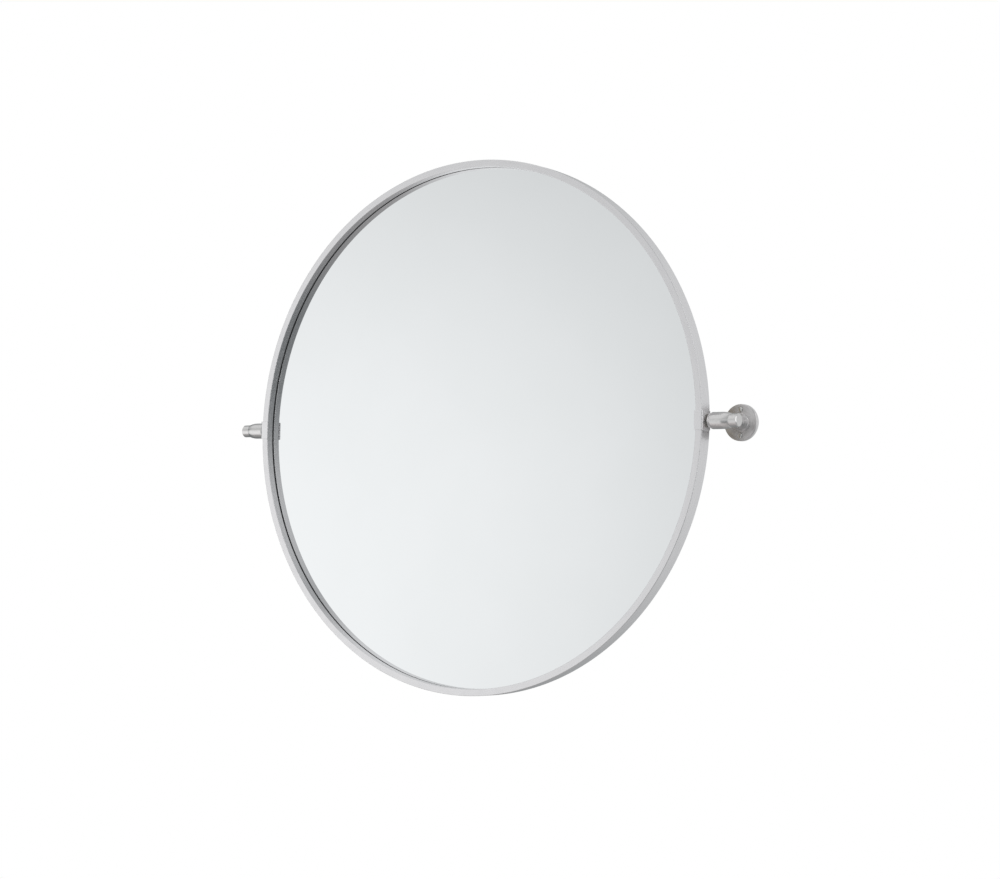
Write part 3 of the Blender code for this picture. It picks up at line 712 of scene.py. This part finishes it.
def make_brackets():
    """Cut flat, drilled, eased and then folded twice round the ring, as the real one is."""
    low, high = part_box("frame_bracket_right")
    radius = BRACKET_FOLD
    bend = radius * math.pi / 2
    plate_end = RIM_RADIUS - LIP_WIDTH - BRACKET_OVERHANG
    plate_run = high.x - BRACKET / 2 - radius - plate_end
    web_run = (high.y - low.y) - BRACKET - 2 * radius
    leg_run = high.x - BRACKET / 2 - radius - low.x
    first = plate_run
    second = first + bend + web_run
    end = second + bend + leg_run
    pivot_at = first + bend + PIVOT.y - (low.y + BRACKET / 2 + radius)
    neck_at = pivot_at + BRACKET_REACH
    tall = extent("frame_bracket_right").z / 2
    neck = BRACKET_NECK / 2
    corner = 1.0 * MM
    outline = eased([
        (0.0, -tall, corner), (neck_at, -tall, corner), (neck_at, -neck, corner),
        (end, -neck, 2 * corner), (end, neck, 2 * corner), (neck_at, neck, corner),
        (neck_at, tall, corner), (0.0, tall, corner)])
    sheet = prism("frame_bracket", outline, -BRACKET / 2, BRACKET / 2)
    face = BRACKET / 2                               # the side that folds onto the ring
    seat = turned("pin_seat", [
        (0.0, BRACKET), (SWAGE_RADIUS + TOUCH, BRACKET), (SWAGE_RADIUS + TOUCH, face),
        (THREAD_M6 + TOUCH, face - SWAGE_DEPTH), (THREAD_M6 + TOUCH, -BRACKET),
        (0.0, -BRACKET)], SMALL_STEPS)
    sheet = carved(sheet, [(seat, at(pivot_at))])
    screw = middle("bracket_screw_upper_right")
    screw_at = second + bend + (high.x - BRACKET / 2 - radius) - screw.x
    heights = [middle(f"bracket_screw_{level}_right").z for level in LEVELS]
    sheet = pierced(sheet, BRACKET_HOLE, -BRACKET, BRACKET, [at(screw_at, -z) for z in heights])
    bracket = finished(folded(bevelled(sheet, SHEET_EDGE), (first, second), radius))
    for where, sign in (("right", 1), ("left", -1)):
        stand_in(f"frame_bracket_{where}", bracket, SHEET_STEEL,
                 (sign * plate_end, low.y + BRACKET / 2, PIVOT.z), FOLDED[where])


def make_bracket_screws():
    screw = cross_head_screw("bracket_screw", head_radius=2.6 * MM, head_height=1.6 * MM,
                             shank_radius=1.25 * MM, shank_length=3.6 * MM, pitch=0.8 * MM)
    leg_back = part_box("frame_bracket_right")[1].y
    for where in SIDES:
        for level in LEVELS:
            node = f"bracket_screw_{level}_{where}"
            place = middle(node)
            place.y = leg_back + TOUCH
            stand_in(node, screw, SCREW_STEEL, place, FACING["wall"])


# ---- the pivots ---------------------------------------------------------------------
def on_axis(name, mesh, finish):
    """Put a piece turned about the pivot axis on both sides; local Z is distance from X = 0."""
    for where in SIDES:
        stand_in(f"{name}_{where}", mesh, finish, PIVOT, FACING[where])


def span(name):
    """Start, end and radius of a right-hand node that is turned about the pivot axis."""
    low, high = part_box(f"{name}_right")
    return low.x, high.x, (high.z - low.z) / 2


def make_washers():
    """Two flat washers outside the barrel and a dished spring washer inside it."""
    for name, edge, finish in (("spacer_washer", 0.3 * MM, TURNED_STEEL),
                               ("friction_washer", 0.15 * MM, NYLON)):
        start, end, radius = span(name)
        profile = eased([(radius, end, edge), (radius, start, edge),
                         (BORE_RADIUS, start, edge), (BORE_RADIUS, end, edge)])
        on_axis(name, finished(turned(name, profile)), finish)
    start, end, radius = span("spring_washer")
    hole = THREAD_M6 + 0.1 * MM
    edge = 0.15 * MM
    rise = 0.6 * MM
    profile = eased([(radius, end - rise, edge), (radius, start, edge),
                     (hole, start + rise, edge), (hole, end, edge)])
    on_axis("spring_washer", finished(turned("spring_washer", profile)), SCREW_STEEL)


def make_pins():
    start, end, _ = span("pivot_pin")
    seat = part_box("frame_bracket_right")[1].x + TOUCH
    profile = [(0.0, end), (THREAD_M6 - LEAD_IN, end)]
    profile += thread(THREAD_M6, end - LEAD_IN, BORE_FLOOR, PITCH_M6)
    profile += eased([
        (THREAD_M6, BORE_FLOOR, 0.0), (PIN_RADIUS, BORE_FLOOR, 0.3 * MM),
        (PIN_RADIUS, seat, 0.1 * MM), (THREAD_M6, seat, 0.0),
        (THREAD_M6, start + SWAGE_DEPTH, 0.0), (SWAGE_RADIUS, start, 0.0), (0.0, start, 0.0)])
    on_axis("pivot_pin", finished(turned("pivot_pin", profile)), SCREW_STEEL)


def make_nuts():
    """Six flats cut from a turned blank with coned ends, and a nylon ring's shoulder."""
    start, end, corner = span("lock_nut")
    hole = THREAD_M6 + 0.4 * MM
    shoulder = 0.80 * corner
    flats_end = end - 1.1 * MM
    cone = 0.8 * MM
    blank = turned("lock_nut", eased([
        (hole, end, 0.0), (shoulder, end, 0.3 * MM), (shoulder, flats_end, 0.2 * MM),
        (corner - cone, flats_end, 0.0), (corner, flats_end - 0.5 * cone, 0.0),
        (corner, start + 0.5 * cone, 0.0), (corner - cone, start, 0.0), (hole, start, 0.0)]))
    flats = rod("flats", corner, start - OVERRUN, end + OVERRUN, HEXAGON)
    on_axis("lock_nut", finished(carved(blank, [(flats, at())], "INTERSECT")), SCREW_STEEL)


def make_barrels():
    start, end, radius = span("pivot_barrel")
    profile = eased([
        (BARREL_TIP_RADIUS, end, 1.0 * MM),
        (radius, BARREL_CONE, 36.0 * MM),
        (radius, start + BARREL_CHAMFER_LENGTH, 1.5 * MM),
        (radius - BARREL_CHAMFER, start, 0.3 * MM),
        (BORE_RADIUS, start, 0.3 * MM),
        (BORE_RADIUS, BORE_FLOOR, 0.0),
        (COUNTERBORE, BORE_FLOOR, 0.0),
        (COUNTERBORE, end, 0.3 * MM),
    ])
    drill = rod("drill", THREAD_M6 + 0.2 * MM, COUNTERBORE - OVERRUN, radius + 2 * OVERRUN)
    post_x = middle("wall_post_right").x
    barrel = carved(turned("pivot_barrel", profile), [(drill, at(z=post_x) @ FACING["wall"])])
    on_axis("pivot_barrel", finished(barrel), TURNED_STEEL)


def make_caps():
    start, end, radius = span("end_cap")
    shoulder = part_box("pivot_barrel_right")[1].x + TOUCH
    plug = COUNTERBORE - 0.1 * MM
    chamfer = 0.9 * MM
    profile = eased([
        (0.0, end, 0.0), (radius - chamfer, end, 0.25 * MM), (radius, end - chamfer, 0.25 * MM),
        (radius, shoulder, 0.3 * MM), (plug, shoulder, 0.0), (plug, start, 0.4 * MM),
        (0.0, start, 0.0)])
    on_axis("end_cap", finished(turned("end_cap", profile)), TURNED_STEEL)


# ---- the wall mounts ----------------------------------------------------------------
def on_walls(name, mesh, finish, y=0.0, turn=FACING["front"]):
    """Put a piece that lies on a post's own axis on both sides, Y from the wall."""
    for where in SIDES:
        node = f"{name}_{where}"
        stand_in(node, mesh, finish, (middle(node).x, y, PIVOT.z), turn)


def countersink():
    """A tool for a countersunk hole in the flange's face, which is its Z = 0."""
    edge = 3.45 * MM
    brim = edge + 0.35 * MM
    hole = 2.1 * MM
    above = 4.0 * MM
    below = -FLANGE_THICK - 2.0 * MM
    return turned("countersink", eased([
        (0.0, above, 0.0), (brim, above, 0.0), (brim, 0.0, 0.0), (edge, -0.25 * MM, 0.1 * MM),
        (hole, -1.9 * MM, 0.1 * MM), (hole, below, 0.0), (0.0, below, 0.0)]), SMALL_STEPS)


def make_flanges():
    radius = extent("wall_flange_right").x / 2
    face = FLANGE_THICK
    boss = face + BOSS_HEIGHT
    groove = BOSS_RADIUS + 0.8 * MM
    groove_floor = face - 0.35 * MM
    profile = eased([
        (0.0, boss + SPIGOT_LENGTH, 0.0), (SPIGOT_RADIUS, boss + SPIGOT_LENGTH, 0.5 * MM),
        (SPIGOT_RADIUS, boss, 0.0), (BOSS_RADIUS, boss, 1.2 * MM),
        (BOSS_RADIUS, groove_floor, 0.2 * MM),
        (groove, groove_floor, 0.2 * MM),
        (groove, face, 0.15 * MM),
        (radius, face, 1.3 * MM), (radius, 0.0, 0.25 * MM), (0.0, 0.0, 0.0)])
    sink = countersink()
    rows = [middle(f"flange_screw_{level}_right").z for level in LEVELS]
    flange = carved(turned("wall_flange", profile), [(sink, at(y=z, z=face)) for z in rows])
    on_walls("wall_flange", finished(flange), FLANGE_STEEL)


def make_flange_screws():
    head = extent("flange_screw_upper_right").x / 2
    dome_height = 1.1 * MM
    shank = 1.9 * MM
    sunk = 1.7 * MM
    tip = -FLANGE_THICK + 0.1 * MM
    profile = dome(head, 0.0, dome_height)
    profile += thread(shank, -sunk, tip, pitch=1.4 * MM)
    profile += [(0.0, tip)]
    blank = turned("flange_screw", profile, SMALL_STEPS)
    tool = cross_recess(width=0.9 * MM, length=3.6 * MM, depth=1.3 * MM, top=dome_height)
    screw = finished(carved(blank, [(tool, at())]))
    for where in SIDES:
        for level in LEVELS:
            node = f"flange_screw_{level}_{where}"
            place = middle(node)
            place.y = -FLANGE_THICK
            stand_in(node, screw, SCREW_STEEL, place, FACING["front"])


def make_posts():
    radius = extent("wall_post_right").x / 2
    barrel_start, barrel_end, barrel = span("pivot_barrel")
    standoff = -PIVOT.y
    tip = standoff - barrel / 2
    foot = FLANGE_THICK + BOSS_HEIGHT + TOUCH
    socket = foot + SPIGOT_LENGTH + 0.3 * MM
    bore = SPIGOT_RADIUS + TOUCH
    profile = eased([
        (0.0, tip, 0.0), (radius, tip, 0.0), (radius, foot, 0.6 * MM), (bore, foot, 0.3 * MM),
        (bore, socket, 0.0), (0.0, socket, 0.0)])
    start, cone, end = (x - middle("wall_post_right").x
                        for x in (barrel_start, BARREL_CONE, barrel_end))
    wide = barrel + TOUCH
    cope = turned("cope", [(0.0, end), (BARREL_TIP_RADIUS + TOUCH, end), (wide, cone),
                           (wide, start), (0.0, start)])
    stud_depth = 26.0 * MM
    stud = rod("stud_drill", THREAD_M6 + TOUCH, standoff - stud_depth, standoff)
    grub = rod("grub_drill", GRUB_RADIUS + TOUCH, SPIGOT_RADIUS - 0.5 * MM, radius + 2 * OVERRUN)
    grub_z = -middle("post_set_screw_right").y
    towards_floor = at(z=grub_z) @ Matrix.Rotation(math.radians(90), 4, "X")
    post = carved(turned("wall_post", profile), [
        (cope, at(z=standoff) @ FACING["right"]), (stud, at()), (grub, towards_floor)])
    on_walls("wall_post", finished(post), POST_STEEL)


def make_set_screws():
    low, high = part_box("post_set_screw_right")
    outer = PIVOT.z - low.z
    inner = PIVOT.z - high.z
    chamfer = 0.4 * MM
    socket_radius = 1.15 * MM
    socket_depth = 1.3 * MM
    profile = [(0.0, outer), (GRUB_RADIUS - chamfer, outer)]
    profile += thread(GRUB_RADIUS, outer - chamfer, inner, pitch=0.7 * MM)
    profile += [(0.0, inner)]
    key = rod("hex_key", socket_radius, outer - socket_depth, outer + OVERRUN, HEXAGON)
    grub = carved(turned("post_set_screw", profile, SMALL_STEPS), [(key, at())])
    on_walls("post_set_screw", finished(grub), SCREW_STEEL,
             y=middle("post_set_screw_right").y, turn=FACING["down"])


def make_studs():
    low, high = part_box("post_stud_right")
    long = high.y - low.y
    profile = [(0.0, 0.0), (THREAD_M6 - LEAD_IN, 0.0)]
    profile += thread(THREAD_M6, -LEAD_IN, -long, PITCH_M6)
    profile += [(0.0, -long)]
    on_walls("post_stud", finished(turned("post_stud", profile)), SCREW_STEEL, y=low.y)


# ---- the studio ---------------------------------------------------------------------
FLOOR_Z = -1.3
FLOOR_RADIUS = 5.0
FLOOR_FADE = (0.25 * FLOOR_RADIUS, 0.9 * FLOOR_RADIUS)      # where it turns white


def make_floor():
    """A pale disc that fades into the white surround towards its edge."""
    form = bmesh.new()
    bmesh.ops.create_circle(form, cap_ends=True, segments=ROUND_STEPS, radius=FLOOR_RADIUS)
    mesh = bpy.data.meshes.new("studio_floor")
    form.to_mesh(mesh)
    form.free()
    floor = mesh_object("studio_floor", mesh)
    floor.location = (0, 0, FLOOR_Z)
    made, tree, shader = surface("studio_floor", {
        "Base Color": (0.86, 0.86, 0.85, 1.0), "Roughness": 0.9})
    reach = add(tree, "ShaderNodeVectorMath", {0: local_spot(tree)},
                operation="LENGTH").outputs["Value"]
    fade = spread(tree, reach, 0.0, 1.0, *FLOOR_FADE)
    white = add(tree, "ShaderNodeEmission", {"Color": (1, 1, 1, 1), "Strength": 1.0})
    blend = add(tree, "ShaderNodeMixShader",
                {0: fade, 1: shader.outputs[0], 2: white.outputs[0]})
    tree.links.new(blend.outputs[0], tree.nodes["Material Output"].inputs["Surface"])
    mesh.materials.append(made)
    floor.visible_glossy = False                     # the steel sees only the soft boxes


WHITE = (1.0, 1.0, 1.0)
WARM = (1.06, 0.97, 0.95)
ROOM = (0.200, 0.214, 0.218)                         # the unlit part of the room

# A soft box: where it stands, degrees from its middle to where it starts to fade and to
# where it ends, its strength and its tint.
SOFT_BOXES = (
    ((-0.77, -0.60, -0.24), 0, 35, 0.91, WHITE),     # key, far left
    ((-0.52, -0.82, 0.24), 0, 20, 0.18, WHITE),      # fill above the key
    ((-0.22, -0.91, 0.34), 0, 33, 0.32, WHITE),      # fill between key and camera
    ((-0.08, -0.99, -0.08), 0, 24, 0.30, WHITE),     # low fill left of the camera
    ((0.42, -0.80, 0.43), 4, 26, 0.40, WHITE),       # fill above the camera
    ((0.50, -0.86, 0.07), 3, 16, 0.15, WHITE),       # fill at the camera
    ((-0.47, -0.30, 0.83), 5, 50, 0.62, WHITE),      # overhead
    ((-0.04, -0.16, -0.99), 0, 60, 0.25, WARM),      # bounce from below
    ((-0.38, -0.52, -0.77), 0, 27, 0.20, WARM),      # its brighter near edge
    ((0.60, 0.75, 0.27), 10, 100, 0.51, WHITE),      # the white wall
    ((0.87, -0.43, -0.25), 3, 13, 1.40, WHITE),      # tall strip on the right, bent overhead
    ((0.89, -0.45, 0.04), 3, 13, 1.40, WHITE),
    ((0.86, -0.40, 0.32), 3, 13, 1.40, WHITE),
    ((0.75, -0.26, 0.61), 3, 13, 1.40, WHITE),
)


def make_surround():
    """White to the camera; the pieces see soft boxes in a dim room."""
    world = bpy.data.worlds.new("studio")
    bpy.context.scene.world = world
    world.use_nodes = True
    tree = world.node_tree
    tree.nodes.clear()
    way = add(tree, "ShaderNodeTexCoord").outputs["Generated"]
    light = add(tree, "ShaderNodeCombineXYZ", dict(zip("XYZ", ROOM))).outputs[0]
    for place, core, edge, strength, tint in SOFT_BOXES:
        toward = add(tree, "ShaderNodeVectorMath", {0: way, 1: Vector(place).normalized()},
                     operation="DOT_PRODUCT").outputs["Value"]
        glow = add(tree, "ShaderNodeMapRange",
                   {"Value": toward, "From Min": math.cos(math.radians(edge)),
                    "From Max": math.cos(math.radians(core)), "To Max": strength},
                   interpolation_type="SMOOTHSTEP").outputs["Result"]
        light = add(tree, "ShaderNodeVectorMath", {0: glow, 1: tint, 2: light},
                    operation="MULTIPLY_ADD").outputs[0]
    seen = add(tree, "ShaderNodeBackground", {"Color": (1, 1, 1, 1), "Strength": 1.0})
    lit = add(tree, "ShaderNodeBackground", {"Color": light, "Strength": 1.0})
    camera_ray = add(tree, "ShaderNodeLightPath").outputs["Is Camera Ray"]
    both = add(tree, "ShaderNodeMixShader",
               {0: camera_ray, 1: lit.outputs[0], 2: seen.outputs[0]})
    output = add(tree, "ShaderNodeOutputWorld")
    tree.links.new(both.outputs[0], output.inputs["Surface"])


CAMERA_STAND = Vector((1.9802, -2.8450, -0.2136))
CAMERA_AIM = Vector((0.0440, -0.0500, -0.0198))
CAMERA_ROLL = 1.161                  # degrees
LENS = 86.65                         # focal length and sensor width in millimetres
SENSOR = 36.0


def make_camera():
    """From the right of the mirror and a little below its middle."""
    camera = bpy.data.objects.new("camera", bpy.data.cameras.new("camera"))
    bpy.context.scene.collection.objects.link(camera)
    camera.data.lens = LENS
    camera.data.sensor_width = SENSOR
    camera.location = CAMERA_STAND
    level = (CAMERA_AIM - CAMERA_STAND).to_track_quat("-Z", "Y")
    camera.rotation_mode = "QUATERNION"
    camera.rotation_quaternion = level @ Quaternion((0, 0, 1), math.radians(CAMERA_ROLL))
    bpy.context.scene.camera = camera


make_ring()
make_gasket()
make_glass()
make_board()
make_tab_screws()
make_bumpers()
make_brackets()
make_bracket_screws()
make_washers()
make_pins()
make_nuts()
make_barrels()
make_caps()
make_flanges()
make_flange_screws()
make_posts()
make_set_screws()
make_studs()

make_floor()
make_surround()
make_camera()
bpy.context.scene.view_settings.view_transform = "Standard"
